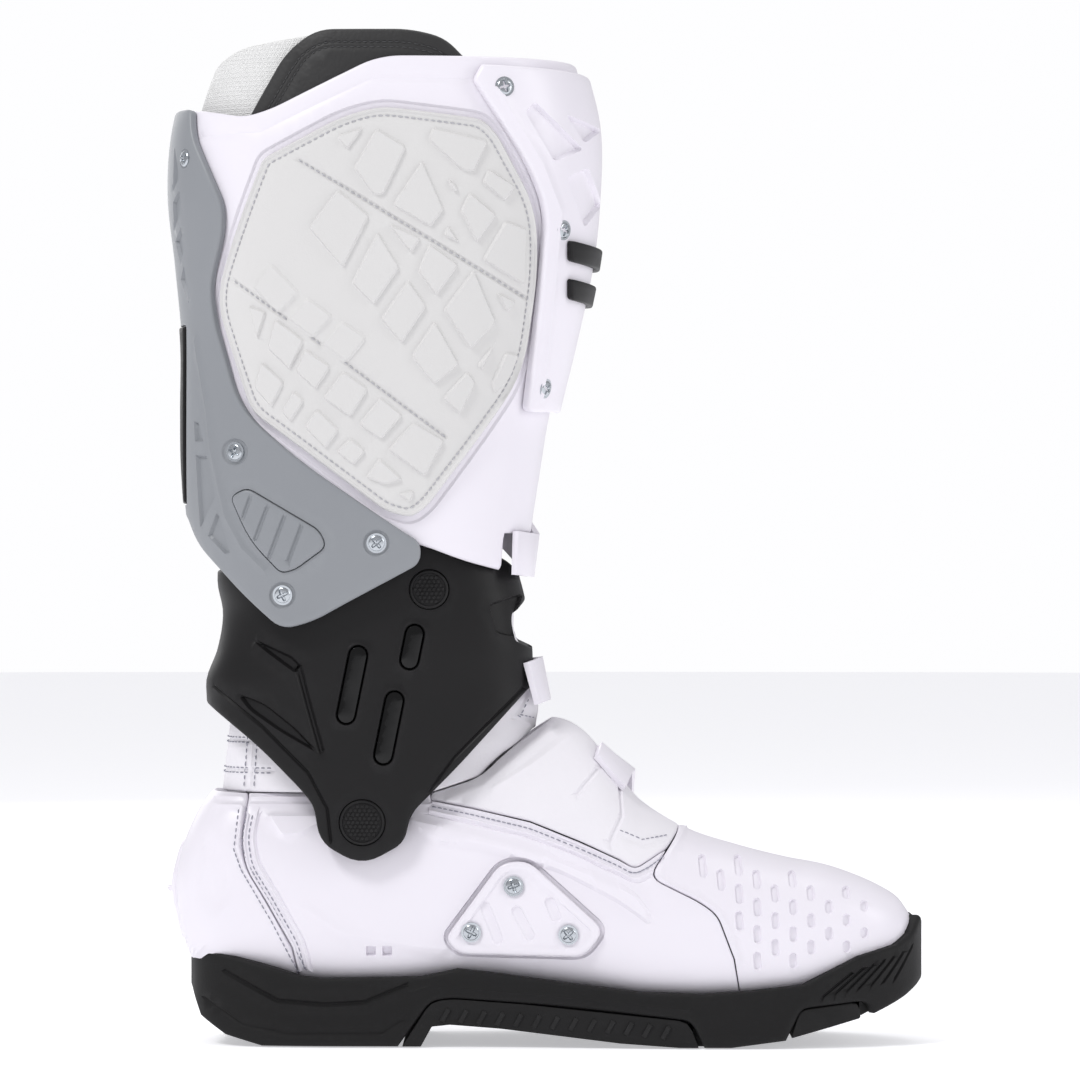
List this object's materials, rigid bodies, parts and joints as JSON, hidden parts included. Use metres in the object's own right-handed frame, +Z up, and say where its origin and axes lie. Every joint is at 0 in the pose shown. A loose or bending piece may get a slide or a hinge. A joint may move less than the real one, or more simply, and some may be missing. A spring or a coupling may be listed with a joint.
{
  "type": "motocross boot",
  "caption": "Tall off-road riding boot with a hinged ankle brace, screwed-on calf and shin plates, lugged sole and buckled straps.",
  "frame": {"origin": "on the ground under the ankle hinge, on the flat heel of the sole, on the boot's middle line", "axes": "+X towards the toe, +Y towards the outer side where the buckles are, +Z up the leg"},
  "size_m": [0.3141, 0.1462, 0.417],
  "materials": {
    "white_plastic": "satin moulded, light texture",
    "white_leather": "smooth coated leather",
    "grey_plastic": "satin moulded",
    "black_plastic": "satin moulded",
    "gloss_black": "gloss",
    "black_rubber": "matt, moulded tread",
    "pad_rubber": "matt embossed pads",
    "black_fabric": "brushed lining",
    "black_leather": "grained, stitched",
    "white_knit": "open knit mesh",
    "steel": "bright pan heads",
    "nylon": "matt"
  },
  "bodies": {
    "foot": {"outsole": "black_rubber", "arch_insert": "black_rubber", "toe_insert": "black_rubber", "foot_shell": "white_plastic", "heel_cup": "white_leather", "toe_cap": "white_plastic", "instep_panel": "white_leather", "inner_side_plate": "white_plastic", "outer_side_plate": "white_plastic", "side_plate_screw_1": "steel", "side_plate_screw_2": "steel", "side_plate_screw_3": "steel", "foot_liner": "black_fabric", "footbed": "nylon", "shank": "steel", "ankle_bellows": "white_leather", "inner_ankle_pin": "steel", "outer_ankle_pin": "steel", "instep_strap": "white_plastic", "instep_receiver": "black_plastic"},
    "brace": {"ankle_brace": "black_plastic", "slot_insert": "gloss_black", "inner_ankle_cap": "black_plastic", "outer_ankle_cap": "black_plastic", "inner_calf_cap": "black_plastic", "outer_calf_cap": "black_plastic", "ankle_strap": "white_plastic", "ankle_receiver": "black_plastic"},
    "calf": {"inner_calf_pin": "steel", "outer_calf_pin": "steel", "calf_shell": "white_plastic", "calf_plate": "grey_plastic", "inner_plate_pad": "grey_plastic", "outer_plate_pad": "grey_plastic", "spine_strip": "black_plastic", "grip_panel": "pad_rubber", "shin_plate": "white_plastic", "shin_emblem": "black_plastic", "calf_plate_screw_1": "steel", "calf_plate_screw_2": "steel", "calf_plate_screw_3": "steel", "calf_plate_screw_4": "steel", "shin_screw_1": "steel", "shin_screw_2": "steel", "shin_screw_3": "steel", "calf_liner": "black_fabric", "collar": "black_leather", "knit_cuff": "white_knit", "inner_calf_link": "nylon", "outer_calf_link": "nylon", "top_strap": "white_plastic", "top_receiver": "black_plastic", "shin_strap": "white_plastic", "shin_receiver": "black_plastic"},
    "top_buckle": {"top_lever": "white_plastic"},
    "shin_buckle": {"shin_lever": "white_plastic"},
    "ankle_buckle": {"ankle_lever": "white_plastic"},
    "instep_buckle": {"instep_lever": "white_plastic"}
  },
  "joints": [
    {"name": "ankle_flex", "type": "hinge", "parent": "foot", "child": "brace", "pos_m": [0, 0, 0.0923], "axis": [0, 1, 0], "range_deg": [-12, 5], "deforming": ["ankle_bellows"]},
    {"name": "calf_flex", "type": "hinge", "parent": "brace", "child": "calf", "pos_m": [0.0275, 0, 0.188], "axis": [0, 1, 0], "range_deg": [-6, 6], "deforming": ["ankle_bellows"]},
    {"name": "top_buckle_open", "type": "hinge", "parent": "calf", "child": "top_buckle", "pos_m": [0.0326, 0.07356, 0.36836], "axis": [0.0396, -0.0036, -0.9992], "range_deg": [0, 100]},
    {"name": "shin_buckle_open", "type": "hinge", "parent": "calf", "child": "shin_buckle", "pos_m": [0.0239, 0.06448, 0.23239], "axis": [-0.4103, 0.0009, -0.912], "range_deg": [0, 100]},
    {"name": "ankle_buckle_open", "type": "hinge", "parent": "brace", "child": "ankle_buckle", "pos_m": [0.04062, 0.05372, 0.14616], "axis": [0.0989, -0.0033, -0.9951], "range_deg": [0, 100]},
    {"name": "instep_buckle_open", "type": "hinge", "parent": "foot", "child": "instep_buckle", "pos_m": [0.09987, 0.05554, 0.08379], "axis": [0.9434, -0.0039, -0.3317], "range_deg": [0, 100]}
  ]
}
